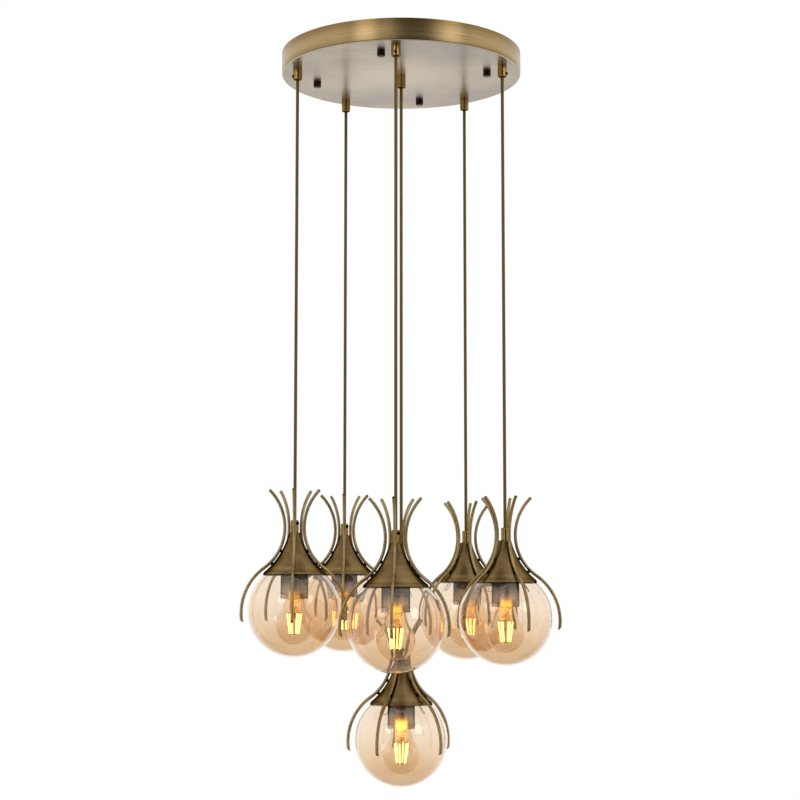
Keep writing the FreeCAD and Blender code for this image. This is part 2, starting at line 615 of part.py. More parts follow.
# The glass globe: a blown ball with a cut mouth that seats inside the rim of the cap
globe = new_body("globe")
turned(globe, "globe_shell", [
    ("0", "-globe_drop - globe_dia / 2", "globe_dia / 2", 1),
    ("globe_mouth / 2", "mouth_level"),
    ("mouth_bore", "mouth_level", "globe_dia / 2 - globe_wall", -1),
    ("0", "-globe_drop - globe_dia / 2 + globe_wall"),
])

# The spring plate and its three wire springs, which grip the mouth of the globe
disc = new_body("disc")
turned(disc, "disc_plate", [
    ("thread_dia / 2", "plate_high"),
    ("plate_dia / 2", "plate_high"),
    ("plate_dia / 2", "plate_high + plate_thick"),
    ("thread_dia / 2", "plate_high + plate_thick"),
])

# Threaded tube with its two nuts, lamp cup and lamp holder core
tube_body = new_body("threaded_tube")
turned(tube_body, "tube_wall", [
    ("tube_bore / 2", "tube_low"),
    ("thread_dia / 2", "tube_low"),
    ("thread_dia / 2", "cap_high + neck_thread"),
    ("tube_bore / 2", "cap_high + neck_thread"),
])
tube_nuts = new_body("tube_nuts")
for tag, level in (("cap", "cap_high - cap_wall - hex_thick"), ("plate", "plate_high + plate_thick")):
    shape = hex_sketch(tube_nuts, tag + "_hex", "0", "thread_dia / 2")
    bind(shape, "AttachmentOffset.Base.z", level)
    padded(tube_nuts, tag + "_nut", shape, "hex_thick")
cup = new_body("cup")
turned(cup, "cup_shell", [
    ("thread_dia / 2", "plate_high - cup_wall"),
    ("thread_dia / 2", "plate_high"),
    ("cup_dia / 2 - cup_wall", "plate_high", "cup_wall", -1),
    ("cup_dia / 2", "plate_high - cup_wall"),
    ("cup_dia / 2", "-cup_drop"),
    ("cup_dia / 2 - cup_wall", "-cup_drop"),
    ("cup_dia / 2 - cup_wall", "plate_high - cup_wall"),
])
core = new_body("core")
socket = "lamp_cap_dia / 2 + lamp_cap_play"
turned(core, "core_shell", [
    ("thread_dia / 2", "core_top"),
    ("thread_dia / 2", "tube_low"),
    ("tube_bore / 2", "tube_low"),
    ("tube_bore / 2", "core_roof_low"),
    (socket, "core_roof_low"),
    (socket, "lamp_cap_low"),
    ("core_dia / 2", "lamp_cap_low"),
    ("core_dia / 2", "core_top - core_collar"),
    ("core_collar_dia / 2", "core_top - core_collar"),
    ("core_collar_dia / 2", "core_top"),
])

# The lamp: glass, screw cap with end contact, and the stem with its filament sticks
glass = new_body("lamp_glass")
glass_r = "lamp_dia / 2"
round_r = "lamp_dia / 2 * cos(lamp_round_angle)"
turned(glass, "glass_shell", [
    ("0", f"lamp_centre - {glass_r}", glass_r, 1),
    (round_r, "round_level", "neck_curve", -1),
    ("lamp_neck_dia / 2", "neck_low"),
    ("lamp_mouth_dia / 2", "lamp_cap_low"),
    ("lamp_mouth_dia / 2 - lamp_wall", "lamp_cap_low"),
    ("lamp_neck_dia / 2 - lamp_wall", "neck_low", "neck_curve + lamp_wall", 1),
    (f"{round_r} - lamp_wall * cos(lamp_round_angle)", "round_level - lamp_wall * sin(lamp_round_angle)",
     f"{glass_r} - lamp_wall", -1),
    ("0", f"lamp_centre - {glass_r} + lamp_wall"),
])
lamp_cap = new_body("lamp_cap")
turned(lamp_cap, "cap_turning", [
    ("0", "lamp_cap_low"),
    ("lamp_cap_dia / 2", "lamp_cap_low"),
    ("lamp_cap_dia / 2", "lamp_cap_top - lamp_cap_bevel"),
    ("lamp_tip_dia / 2 + lamp_cap_bevel", "lamp_cap_top"),
    ("lamp_tip_dia / 2", "lamp_cap_top"),
    ("lamp_tip_dia / 2 - lamp_tip_bevel", "tip_level"),
    ("0", "tip_level"),
])
mount = new_body("filament_mount")
turned(mount, "stem", [
    ("0", "lamp_cap_low - mount_long"),
    ("mount_dia / 4", "lamp_cap_low - mount_long"),
    ("mount_dia / 2", "lamp_cap_low - mount_long + mount_taper"),
    ("mount_dia / 2", "lamp_cap_low"),
    ("0", "lamp_cap_low"),
])
rod(mount, "middle_lead", "lead_dia / 2", "lamp_cap_low - mount_long - stick_foot + lead_past",
    ("0", "0", "stick_foot - lead_past"))
stick = rod(mount, "stick", "stick_dia / 2", "stick_long", ("stick_top", "0", "stick_high"), "180 + stick_lean_angle")
lead_high = "lamp_cap_low - mount_long + lead_root"
lead_run = f"sqrt(stick_top^2 + ({lead_high} - stick_high)^2)"
upper = rod(mount, "upper_lead", "lead_dia / 2", lead_run, ("0", "0", lead_high),
            f"90 + atan(({lead_high} - stick_high) / stick_top) / 1 deg")
lower = rod(mount, "lower_lead", "lead_dia / 2", "stick_foot_r", ("0", "0", "stick_foot"), "90")
ringed(mount, "sticks", [stick, upper, lower], "stick_count")

# The spring wire: two legs and a foot in one slanted plane, as a swept line with round bends
springs = new_body("spring_set")
spring_lines = []
wire_plan = put_sketch(springs, "spring_line", "XY_Plane")
slope = "atan((plate_high + wire_drop - wire_dia) / (wire_reach - wire_root)) / 1 deg"
slant = "sqrt((plate_high + wire_drop - wire_dia)^2 + (wire_reach - wire_root)^2)"
draw_chain(wire_plan, [
    ("0", "-wire_pair / 2"),
    (f"{slant} - wire_bend", "-wire_pair / 2", "wire_bend", 1),
    (slant, "-wire_pair / 2 + wire_bend"),
    (slant, "wire_pair / 2 - wire_bend", "wire_bend", 1),
    (f"{slant} - wire_bend", "wire_pair / 2"),
    ("0", "wire_pair / 2"),
], closed=False)
set_offset(wire_plan, ("wire_root", "0", "plate_high - wire_dia / 2"), slope)
doc.recompute()
wire_section = springs.newObject("Sketcher::SketchObject", "wire_section")
wire_section.AttachmentSupport = (wire_plan, ["Edge1"])
wire_section.MapMode = "NormalToEdge"
draw_circle(wire_section, "0", "0", "wire_dia / 2")
doc.recompute()
wire = springs.newObject("PartDesign::AdditivePipe", "spring_wire")
wire.Profile = wire_section
wire.Spine = (wire_plan, [])
ringed(springs, "spring_ring", [wire], "spring_count")

# Each pendant is the same set of pieces at its own place, height and turn
for n in range(1, 7):
    if n < 6:
        x, y = (f"ring_dia / 2 * {f}(place_turn_{n} + ring_turn)" for f in ("cos", "sin"))
    else:
        x, y = "0", "0"
    level = f"-hang_{n}"
    here = (x, y, level, f"face_turn_{n}")
    cord = doc.addObject("Part::Cylinder", f"cord_{n}")
    cord.Label = f"cord_{n}"
    foot_level = f"cap_high + neck_len - cord_seat - hang_{n}"
    bind(cord, "Radius", "cord_dia / 2")
    bind(cord, "Height", f"cord_top - ({foot_level})")
    place(cord, x, y, foot_level, "0")
    nodes.append(cord)
    node(f"neck_grip_{n}", [neck, neck_screw], (x, y, level, f"face_turn_{n} + neck_turn"))
    node(f"flared_cap_{n}", [cap], here)
    node(f"arms_{n}", [arms], here)
    node(f"arm_pins_{n}", [pins], here)
    node(f"globe_{n}", [globe], here)
    node(f"springs_{n}", [disc, springs], (x, y, level, f"face_turn_{n} + spring_turn"))
    node(f"lamp_holder_{n}", [tube_body, tube_nuts, cup, core], here)
    node(f"bulb_{n}", [glass, lamp_cap, mount], here)

doc.recompute()

# Nothing is written unless every object is sound
for thing in doc.Objects:
    if "Invalid" in thing.State or "Error" in thing.State:
        raise RuntimeError(f"{thing.Label} is {thing.State}: {thing.getStatusString()}")
for part in nodes:
    if part.Shape.isNull() or not part.Shape.isValid() or not part.Shape.Solids:
        raise RuntimeError(f"{part.Label} has no valid shape")
for part in nodes:
    part.Shape.exportStep(f"parts/{part.Label}.step")
    print(part.Label, len(part.Shape.Solids), round(part.Shape.Volume, 1))
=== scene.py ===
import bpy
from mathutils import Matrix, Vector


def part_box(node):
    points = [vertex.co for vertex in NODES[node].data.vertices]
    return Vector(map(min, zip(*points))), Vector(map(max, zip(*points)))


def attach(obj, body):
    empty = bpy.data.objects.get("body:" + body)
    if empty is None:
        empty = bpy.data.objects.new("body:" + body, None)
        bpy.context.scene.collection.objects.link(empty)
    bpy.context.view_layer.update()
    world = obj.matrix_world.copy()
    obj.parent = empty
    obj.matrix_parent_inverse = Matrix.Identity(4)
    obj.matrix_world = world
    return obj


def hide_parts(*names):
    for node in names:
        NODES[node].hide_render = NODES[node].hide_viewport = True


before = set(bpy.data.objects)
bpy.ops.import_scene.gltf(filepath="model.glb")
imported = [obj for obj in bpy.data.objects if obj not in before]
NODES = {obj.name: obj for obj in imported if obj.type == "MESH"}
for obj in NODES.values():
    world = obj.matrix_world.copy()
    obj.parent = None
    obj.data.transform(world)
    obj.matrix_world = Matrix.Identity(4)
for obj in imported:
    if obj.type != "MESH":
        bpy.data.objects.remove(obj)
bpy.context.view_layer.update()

import math

import bmesh
import bpy
import numpy as np

# Cluster pendant ceiling light. Metres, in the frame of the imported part: the origin is the centre of the
# canopy's open face on the ceiling, +Z is up. Lengths named in millimetres are turned to metres by MM.
MM = 0.001
PENDANTS = range(1, 7)
# A globe, about the centre of its pendant's rim plane in millimetres: centre, outer radius, wall, level of the mouth
BALL, BALL_RADIUS, BALL_WALL, MOUTH_LEVEL = (0, -56.3035), 75, 2, 5.15
# For each pendant: turn of the lamp in its holder and of the globe springs, in degrees, and how strongly its globe
# throws the lamp's light back onto the cup
LAMP_TURN = {1: 12, 2: 9, 3: 15, 4: 20, 5: 3, 6: 16}
SPRING_TURN = {1: 61, 2: 60, 3: 56, 4: 83, 5: 107, 6: 106}
LAMP_GLOW = {1: 0.4, 2: 0.35, 3: 1.0, 4: 0.4, 5: 0.95, 6: 2.2}


def rim_spot(n):
    """Centre of pendant n's rim plane in metres: the middle of its globe's box, above the globe's foot."""
    low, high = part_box(f"globe_{n}")
    return np.array([(low.x + high.x) / 2, (low.y + high.y) / 2, low.z + (BALL_RADIUS - BALL[1]) * MM])


# ---- Camera: fitted to the photograph, 26 degrees across, 2.85 m in front, tilted up 6 degrees ----
scene = bpy.context.scene
camera_data = bpy.data.cameras.new("photo_camera")
camera_data.sensor_width = 36
camera_data.lens = 78.3
camera_data.clip_start, camera_data.clip_end = 0.05, 60
camera = bpy.data.objects.new("photo_camera", camera_data)
camera.location = (0, -2.85, -0.883)
camera.rotation_euler = (math.radians(96.03), 0, 0.0007)
scene.collection.objects.link(camera)
scene.camera = camera


# ---- Surfaces worked out with numpy ----
def arc(centre, radius, start, end, count):
    """Points of an arc in a profile: centre + radius * (cos a, sin a), a evenly from start to end degrees."""
    a = np.radians(np.linspace(start, end, count))
    return np.stack([centre[0] + radius * np.cos(a), centre[1] + radius * np.sin(a)], 1)


def lathe(profile, columns=96):
    """A turned surface. Row i, column j is (r_i cos t_j, r_i sin t_j, z_i), with t_j evenly round the circle.
    Its map is (share of the turn, share of the height). Up the outside and down the inside faces outward."""
    profile = np.asarray(profile, float)
    t = np.linspace(0, 2 * np.pi, columns, endpoint=False)
    r, z = profile[:, :1], profile[:, 1:]
    points = np.stack([r * np.cos(t), r * np.sin(t), z + 0 * t], 2)
    height = (z - z.min()) / (np.ptp(z) or 1)
    turn = np.linspace(0, 1, columns + 1)
    return points, np.stack([0 * height + turn, height + 0 * turn], 2)


def sweep(path, radii, reference, sides=16):
    """A round section carried along a path. Row i, column j is path_i + radius_i * (cos t_j n_i + sin t_j b_i),
    where n is square to the path and to the reference direction and b to both. Its map is (share of the turn,
    length along the path in metres)."""
    path = np.asarray(path, float)
    radii = np.broadcast_to(np.asarray(radii, float), len(path))
    along = np.gradient(path, axis=0)
    along /= np.linalg.norm(along, axis=1, keepdims=True)
    n = np.cross(np.broadcast_to(reference, path.shape), along)
    n /= np.linalg.norm(n, axis=1, keepdims=True)
    b = np.cross(along, n)
    t = np.linspace(0, 2 * np.pi, sides, endpoint=False)[None, :, None]
    points = path[:, None] + radii[:, None, None] * (np.cos(t) * n[:, None] + np.sin(t) * b[:, None])
    run = np.concatenate([[0], np.cumsum(np.linalg.norm(np.diff(path, axis=0), axis=1))])[:, None] * MM
    turn = np.linspace(0, 1, sides + 1)
    return points, np.stack([0 * run + turn, run + 0 * turn], 2)


def rod(start, end, radius, sides=12, rows=2, dome=0.5):
    """A straight round rod with domed ends: a sweep whose radius follows a quarter circle at each end."""
    start, end = np.asarray(start, float), np.asarray(end, float)
    way = (end - start) / np.linalg.norm(end - start)
    q = np.linspace(0, np.pi / 2, 4)
    lead, shrink = radius * dome * (1 - np.cos(q)), radius * np.sin(q)
    body = start + way * radius * dome + np.linspace(0, 1, rows)[:, None] * (end - start - 2 * way * radius * dome)
    path = np.concatenate([start + lead[:-1, None] * way, body, end - lead[:-1][::-1, None] * way])
    radii = np.concatenate([shrink[:-1], np.full(rows, radius), shrink[:-1][::-1]])
    reference = (1, 0, 0) if abs(way[0]) < 0.7 else (0, 1, 0)
    return sweep(path, radii, reference, sides)


def around(surface, count):
    """Copies of a surface turned about Z, evenly."""
    points, chart = surface
    copies = []
    for angle in np.arange(count) * 2 * np.pi / count:
        c, s = np.cos(angle), np.sin(angle)
        copies.append((points @ np.array([[c, s, 0], [-s, c, 0], [0, 0, 1]]), chart))
    return copies


def make(name, surfaces, spot, turn, material, body, slot, *nodes):
    """One piece from surfaces in millimetres about a pendant's rim centre, turned by turn degrees and moved to
    spot. Each surface's last column meets its first; rows that shrink to a point are merged into one vertex."""
    corners, faces, charts, count = [], [], [], 0
    c, s = math.cos(math.radians(turn)), math.sin(math.radians(turn))
    for points, chart in surfaces:
        rows, columns = points.shape[:2]
        index = np.arange(rows * columns).reshape(rows, columns) + count
        after = np.roll(index, -1, axis=1)
        quads = np.stack([index[:-1], after[:-1], after[1:], index[1:]], 2)
        chart_quads = np.stack([chart[:-1, :-1], chart[:-1, 1:], chart[1:, 1:], chart[1:, :-1]], 2)
        corners.append(points.reshape(-1, 3))
        faces.append(quads.reshape(-1, 4))
        charts.append(chart_quads.reshape(-1, 2))
        count += rows * columns
    corners = np.concatenate(corners) @ np.array([[c, s, 0], [-s, c, 0], [0, 0, 1]]) * MM + np.asarray(spot)
    faces, charts = np.concatenate(faces), np.concatenate(charts)
    mesh = bpy.data.meshes.new(name)
    mesh.vertices.add(len(corners))
    mesh.vertices.foreach_set("co", corners.astype(np.float32).ravel())
    mesh.loops.add(faces.size)
    mesh.loops.foreach_set("vertex_index", faces.astype(np.int32).ravel())
    mesh.polygons.add(len(faces))
    mesh.polygons.foreach_set("loop_start", np.arange(0, faces.size, 4, dtype=np.int32))
    mesh.polygons.foreach_set("use_smooth", np.ones(len(faces), bool))
    mesh.uv_layers.new(name="Surface").data.foreach_set("uv", charts.astype(np.float32).ravel())
    mesh.update(calc_edges=True)
    weld = bmesh.new()
    weld.from_mesh(mesh)
    bmesh.ops.remove_doubles(weld, verts=weld.verts, dist=1e-7)
    weld.to_mesh(mesh)
    weld.free()
    mesh.materials.append(material)
    thing = bpy.data.objects.new(name, mesh)
    scene.collection.objects.link(thing)
    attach(thing, body)
    if nodes:
        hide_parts(*nodes)
    return thing


# ---- Materials ----
def paint(code):
    """An sRGB hex colour as linear red, green, blue and 1."""
    value = np.array([int(code[i:i + 2], 16) for i in (1, 3, 5)]) / 255
    value = np.where(value <= 0.04045, value / 12.92, ((value + 0.055) / 1.055) ** 2.4)
    return (*value.tolist(), 1.0)


def add(tree, kind, inputs=None, **settings):
    """One node with its settings. inputs are by name or number, each a value or another node's output."""
    node = tree.nodes.new(kind)
    for name, value in settings.items():
        setattr(node, name, value)
    for name, value in (inputs or {}).items():
        if isinstance(value, bpy.types.NodeSocket):
            tree.links.new(value, node.inputs[name])
        else:
            node.inputs[name].default_value = value
    return node


def start_material(name):
    """An empty material and its node tree."""
    material = bpy.data.materials.new(name)
    material.use_nodes = True
    material.node_tree.nodes.clear()
    return material, material.node_tree


def near(tree, value, level, reach, amount=1.0):
    """Share from amount, where a value is at a level, down to 0 at a distance of reach from it."""
    off = add(tree, "ShaderNodeMath", {0: value, 1: level}, operation="SUBTRACT").outputs[0]
    off = add(tree, "ShaderNodeMath", {0: off}, operation="ABSOLUTE").outputs[0]
    return add(tree, "ShaderNodeMapRange", {"Value": off, "From Min": reach, "From Max": 0.0, "To Max": amount},
               interpolation_type="SMOOTHSTEP").outputs[0]


def brushed_brass(name, bright, stain, grain, rough, centre=(0, 0, 0), edge="#3a2c15", streak=0.3, cloud=28.0,
                  bands=(), barrel=0.0):
    """Antique brass: plated steel, brushed one way, stained brown and lacquered. Brushing gives fine streaks
    that blur reflections across them, drawn about a millimetre apart, coarser than real ones, so that they show.
    The stain lies unevenly, in clouds a few centimetres wide; bores and narrow gaps get painted shade. grain is
    how often the streaks change per metre along X, Y and Z. edge is the tint of the metal seen edge on. bands are
    rings of painted shade and painted highlight: level above the centre, reach, colour and share. What stands
    further out from the centre line than a barrel's radius is its blackened screw."""
    material, tree = start_material(name)
    where = add(tree, "ShaderNodeTexCoord").outputs["Object"]
    moved = add(tree, "ShaderNodeMapping", {"Vector": where, "Location": [-c for c in centre]}).outputs[0]
    streaked = add(tree, "ShaderNodeMapping", {"Vector": moved, "Scale": grain}).outputs[0]
    streaks = add(tree, "ShaderNodeTexNoise", {"Vector": streaked, "Scale": 1.0, "Detail": 4.0,
                                               "Roughness": 0.6}).outputs[0]
    clouds = add(tree, "ShaderNodeTexNoise", {"Vector": moved, "Scale": cloud, "Detail": 4.0,
                                              "Roughness": 0.6}).outputs[0]
    both = add(tree, "ShaderNodeMix", {0: streak, 2: clouds, 3: streaks}).outputs[0]
    share = add(tree, "ShaderNodeMapRange", {"Value": both, "From Min": 0.36, "From Max": 0.64}).outputs[0]
    colour = add(tree, "ShaderNodeMix", {0: share, 6: paint(stain), 7: paint(bright)},
                 data_type="RGBA").outputs[2]
    height = add(tree, "ShaderNodeSeparateXYZ", {0: moved}).outputs[2]
    for level, reach, code, amount in bands:
        colour = add(tree, "ShaderNodeMix", {0: near(tree, height, level, reach, amount), 6: colour,
                                             7: paint(code)}, data_type="RGBA").outputs[2]
    if barrel:
        flat = add(tree, "ShaderNodeVectorMath", {0: moved, 1: (1, 1, 0)}, operation="MULTIPLY").outputs[0]
        out = add(tree, "ShaderNodeVectorMath", {0: flat}, operation="LENGTH").outputs["Value"]
        screw = add(tree, "ShaderNodeMath", {0: out, 1: barrel}, operation="GREATER_THAN").outputs[0]
        colour = add(tree, "ShaderNodeMix", {0: screw, 6: colour, 7: paint("#0c0906")}, data_type="RGBA").outputs[2]
    # painted shade: the less open the place, the darker, so bores and the gaps behind the arms turn dark
    clear_of_painted_shade = add(tree, "ShaderNodeAmbientOcclusion", {"Distance": 0.004}, samples=4).outputs["AO"]
    clear_of_painted_shade = add(tree, "ShaderNodeMapRange", {"Value": clear_of_painted_shade, "From Min": 0.25, "From Max": 0.7}).outputs[0]
    colour = add(tree, "ShaderNodeMix", {0: clear_of_painted_shade, 6: paint("#120c05"), 7: colour}, data_type="RGBA").outputs[2]
    dull = add(tree, "ShaderNodeMapRange", {"Value": streaks, "From Min": 0.3, "From Max": 0.7,
                                            "To Min": rough - 0.04, "To Max": rough + 0.05}).outputs[0]
    bump = add(tree, "ShaderNodeBump", {"Height": streaks, "Strength": 0.15, "Distance": 0.0003}).outputs[0]
    shader = add(tree, "ShaderNodeBsdfPrincipled", {"Base Color": colour, "Metallic": 1.0, "Roughness": dull,
                                                    "Specular Tint": paint(edge), "Normal": bump})
    add(tree, "ShaderNodeOutputMaterial", {"Surface": shader.outputs[0]})
    return material


def canopy_brass():
    """The canopy: one spun sheet of antique brass. Its rim is brushed round and golden, with a painted dark
    reflection towards the ceiling and towards its lower edge. Its plate is brushed left to right and painted paler
    and greyer, for the pale room it reflects at a grazing angle, with a painted highlight in its middle. Brushing
    draws reflections out across it: upright on the rim, front to back on the plate. Above the rounded edge runs a
    dark line of painted reflection, and the edge itself has a painted highlight. The brush lines are drawn one to
    two millimetres apart, coarser than real ones, so that they show."""
    material, tree = start_material("canopy_brushed_brass")
    where = add(tree, "ShaderNodeTexCoord").outputs["Object"]
    height = add(tree, "ShaderNodeSeparateXYZ", {0: where}).outputs[2]
    # the plate starts 0.3 mm above the canopy's lowest level, 36 mm down
    plate = add(tree, "ShaderNodeMath", {0: height, 1: -0.0357}, operation="LESS_THAN").outputs[0]
    round_way = add(tree, "ShaderNodeMapping", {"Vector": where, "Scale": (9, 9, 900)}).outputs[0]
    across_way = add(tree, "ShaderNodeMapping", {"Vector": where, "Scale": (7, 520, 1)}).outputs[0]
    rim_streaks = add(tree, "ShaderNodeTexNoise", {"Vector": round_way, "Scale": 1.0, "Detail": 3.0,
                                                   "Roughness": 0.5}).outputs[0]
    plate_streaks = add(tree, "ShaderNodeTexNoise", {"Vector": across_way, "Scale": 1.0, "Detail": 5.0,
                                                     "Roughness": 0.65}).outputs[0]
    clouds = add(tree, "ShaderNodeTexNoise", {"Vector": where, "Scale": 9.0, "Detail": 3.0,
                                              "Roughness": 0.5}).outputs[0]
    patches = add(tree, "ShaderNodeMapRange", {"Value": clouds, "From Min": 0.38, "From Max": 0.62}).outputs[0]
    streaks = add(tree, "ShaderNodeMix", {0: plate, 2: rim_streaks, 3: plate_streaks}).outputs[0]
    share = add(tree, "ShaderNodeMapRange", {"Value": streaks, "From Min": 0.3, "From Max": 0.7}).outputs[0]
    rim = add(tree, "ShaderNodeMix", {0: share, 6: paint("#9b8157"), 7: paint("#b89f74")}, data_type="RGBA")
    # painted reflection of dark surroundings: the rim darkens towards the ceiling and towards its lower edge
    paler = near(tree, height, -0.021, 0.021, 1.0)
    rim = add(tree, "ShaderNodeMix", {0: paler, 6: paint("#8a7048"), 7: rim.outputs[2]}, data_type="RGBA")
    # the plate is painted paler and greyer than the rim, for the pale room it reflects at a grazing angle
    cool = add(tree, "ShaderNodeMix", {0: share, 6: paint("#938778"), 7: paint("#b3a89b")}, data_type="RGBA")
    warm = add(tree, "ShaderNodeMix", {0: share, 6: paint("#a79880"), 7: paint("#cdbfaa")}, data_type="RGBA")
    base = add(tree, "ShaderNodeMix", {0: patches, 6: cool.outputs[2], 7: warm.outputs[2]}, data_type="RGBA")
    # painted highlight: the plate brightens towards its middle
    out = add(tree, "ShaderNodeVectorMath", {0: where, 1: (0, 0, -0.036)}, operation="DISTANCE").outputs["Value"]
    middle = add(tree, "ShaderNodeMapRange", {"Value": out, "From Min": 0.16, "From Max": 0.02, "To Max": 0.5},
                 interpolation_type="SMOOTHSTEP").outputs[0]
    base = add(tree, "ShaderNodeMix", {0: middle, 6: base.outputs[2], 7: paint("#dccdb8")}, data_type="RGBA")
    colour = add(tree, "ShaderNodeMix", {0: plate, 6: rim.outputs[2], 7: base.outputs[2]}, data_type="RGBA")
    # painted reflection on the rounded edge: a dark line just above it and a bright highlight on the edge
    for level, reach, code in ((-0.0343, 0.0007, "#2e220c"), (-0.0354, 0.0004, "#f0e2bd")):
        colour = add(tree, "ShaderNodeMix", {0: near(tree, height, level, reach), 6: colour.outputs[2],
                                             7: paint(code)}, data_type="RGBA")
    dull = add(tree, "ShaderNodeMapRange", {"Value": streaks, "From Min": 0.3, "From Max": 0.7, "To Min": 0.27,
                                            "To Max": 0.33}).outputs[0]
    bump = add(tree, "ShaderNodeBump", {"Height": streaks, "Strength": 0.15, "Distance": 0.0004}).outputs[0]
    drawn_out = add(tree, "ShaderNodeMix", {0: plate, 4: (0, 0, 1), 5: (0, 1, 0)}, data_type="VECTOR").outputs[1]
    shader = add(tree, "ShaderNodeBsdfPrincipled", {
        "Base Color": colour.outputs[2], "Metallic": 1.0, "Roughness": dull, "Anisotropic": 0.45,
        "Tangent": drawn_out, "Normal": bump})
    add(tree, "ShaderNodeOutputMaterial", {"Surface": shader.outputs[0]})
    return material


def blown_glass(name, top, foot, tint_from, tint_to):
    """Clear blown glass with an amber tint that deepens towards the foot, where the glass ran thicker.
    top and foot are what one wall lets through. Lamps and soft light pass it straight."""
    material, tree = start_material(name)
    chart = add(tree, "ShaderNodeUVMap", uv_map="Surface").outputs[0]
    height = add(tree, "ShaderNodeSeparateXYZ", {0: chart}).outputs[1]
    share = add(tree, "ShaderNodeMapRange", {"Value": height, "From Min": tint_from, "From Max": tint_to},
                interpolation_type="SMOOTHSTEP").outputs[0]
    colour = add(tree, "ShaderNodeMix", {0: share, 6: paint(foot), 7: paint(top)}, data_type="RGBA").outputs[2]
    glass = add(tree, "ShaderNodeBsdfPrincipled", {"Base Color": colour, "Roughness": 0.0, "IOR": 1.5,
                                                   "Transmission Weight": 1.0}).outputs[0]
    clear = add(tree, "ShaderNodeBsdfTransparent", {"Color": colour}).outputs[0]
    path = add(tree, "ShaderNodeLightPath")
    soft = add(tree, "ShaderNodeMath", {0: path.outputs["Is Shadow Ray"], 1: path.outputs["Is Diffuse Ray"]},
               operation="MAXIMUM").outputs[0]
    mixed = add(tree, "ShaderNodeMixShader", {0: soft, 1: glass, 2: clear})
    add(tree, "ShaderNodeOutputMaterial", {"Surface": mixed.outputs[0]})
    return material


def filament_light():
    """LED filament sticks: glass rods coated with yellow phosphor, which glow warm white when lit."""
    material, tree = start_material("lit_phosphor")
    where = add(tree, "ShaderNodeTexCoord").outputs["Object"]
    grain = add(tree, "ShaderNodeTexNoise", {"Vector": where, "Scale": 900.0, "Detail": 2.0}).outputs[0]
    glow = add(tree, "ShaderNodeMix", {0: grain, 6: paint("#ffcc66"), 7: paint("#ffdc90")}, data_type="RGBA")
    shader = add(tree, "ShaderNodeBsdfPrincipled", {
        "Base Color": paint("#f3dc9a"), "Roughness": 0.6, "Emission Color": glow.outputs[2],
        "Emission Strength": 5.0})
    add(tree, "ShaderNodeOutputMaterial", {"Surface": shader.outputs[0]})
    return material


def lit_stem():
    """The lamp's stem: pinched glass with a painted glow, gold glints of emission in patches that stand for the
    sticks' light reflected in it.
    """
    material, tree = start_material("lit_stem_glass")
    where = add(tree, "ShaderNodeTexCoord").outputs["Object"]
    # painted glints: patches of emission standing for the sticks' light reflected in the stem
    painted_glints = add(tree, "ShaderNodeTexNoise", {"Vector": where, "Scale": 420.0, "Detail": 4.0}).outputs[0]
    sparkle = add(tree, "ShaderNodeMapRange", {"Value": painted_glints, "From Min": 0.4, "From Max": 0.6,
                                               "To Min": 0.08, "To Max": 0.72}).outputs[0]
    shader = add(tree, "ShaderNodeBsdfPrincipled", {
        "Base Color": paint("#f2e2c4"), "Roughness": 0.1, "IOR": 1.5, "Transmission Weight": 0.9,
        "Emission Color": paint("#dda04a"), "Emission Strength": sparkle})
    add(tree, "ShaderNodeOutputMaterial", {"Surface": shader.outputs[0]})
    return material


def dark_metal(name, deep, rubbed, metal):
    """Blackened metal: brass or spring steel turned nearly black in a bath, satin, browner where it is rubbed."""
    material, tree = start_material(name)
    where = add(tree, "ShaderNodeTexCoord").outputs["Object"]
    wear = add(tree, "ShaderNodeTexNoise", {"Vector": where, "Scale": 320.0, "Detail": 3.0}).outputs[0]
    share = add(tree, "ShaderNodeMapRange", {"Value": wear, "From Min": 0.35, "From Max": 0.7}).outputs[0]
    colour = add(tree, "ShaderNodeMix", {0: share, 6: paint(deep), 7: paint(rubbed)}, data_type="RGBA")
    dull = add(tree, "ShaderNodeMapRange", {"Value": wear, "To Min": 0.26, "To Max": 0.46}).outputs[0]
    shader = add(tree, "ShaderNodeBsdfPrincipled", {"Base Color": colour.outputs[2], "Metallic": metal,
                                                    "Roughness": dull})
    add(tree, "ShaderNodeOutputMaterial", {"Surface": shader.outputs[0]})
    return material


def zinc_plated():
    """Zinc-plated steel: bright grey with a faint spangle a few millimetres wide."""
    material, tree = start_material("zinc_plated_steel")
    where = add(tree, "ShaderNodeTexCoord").outputs["Object"]
    spangle = add(tree, "ShaderNodeTexVoronoi", {"Vector": where, "Scale": 260.0}).outputs["Color"]
    level = add(tree, "ShaderNodeSeparateColor", {0: spangle}).outputs[0]
    colour = add(tree, "ShaderNodeMix", {0: level, 6: paint("#9b9a96"), 7: paint("#c6c4be")}, data_type="RGBA")
    dull = add(tree, "ShaderNodeMapRange", {"Value": level, "To Min": 0.24, "To Max": 0.38}).outputs[0]
    shader = add(tree, "ShaderNodeBsdfPrincipled", {"Base Color": colour.outputs[2], "Metallic": 1.0,
                                                    "Roughness": dull})
    add(tree, "ShaderNodeOutputMaterial", {"Surface": shader.outputs[0]})
    return material


def block_plastic():
    """Polyamide terminal block: moulded, pale, with the fine grain of a sparked mould."""
    material, tree = start_material("moulded_polyamide")
    where = add(tree, "ShaderNodeTexCoord").outputs["Object"]
    grain = add(tree, "ShaderNodeTexNoise", {"Vector": where, "Scale": 1400.0, "Detail": 2.0}).outputs[0]
    colour = add(tree, "ShaderNodeMix", {0: grain, 6: paint("#d6d3ca"), 7: paint("#e6e3db")}, data_type="RGBA")
    bump = add(tree, "ShaderNodeBump", {"Height": grain, "Strength": 0.3, "Distance": 0.0002}).outputs[0]
    shader = add(tree, "ShaderNodeBsdfPrincipled", {"Base Color": colour.outputs[2], "Roughness": 0.55,
                                                    "Normal": bump})
    add(tree, "ShaderNodeOutputMaterial", {"Surface": shader.outputs[0]})
    return material


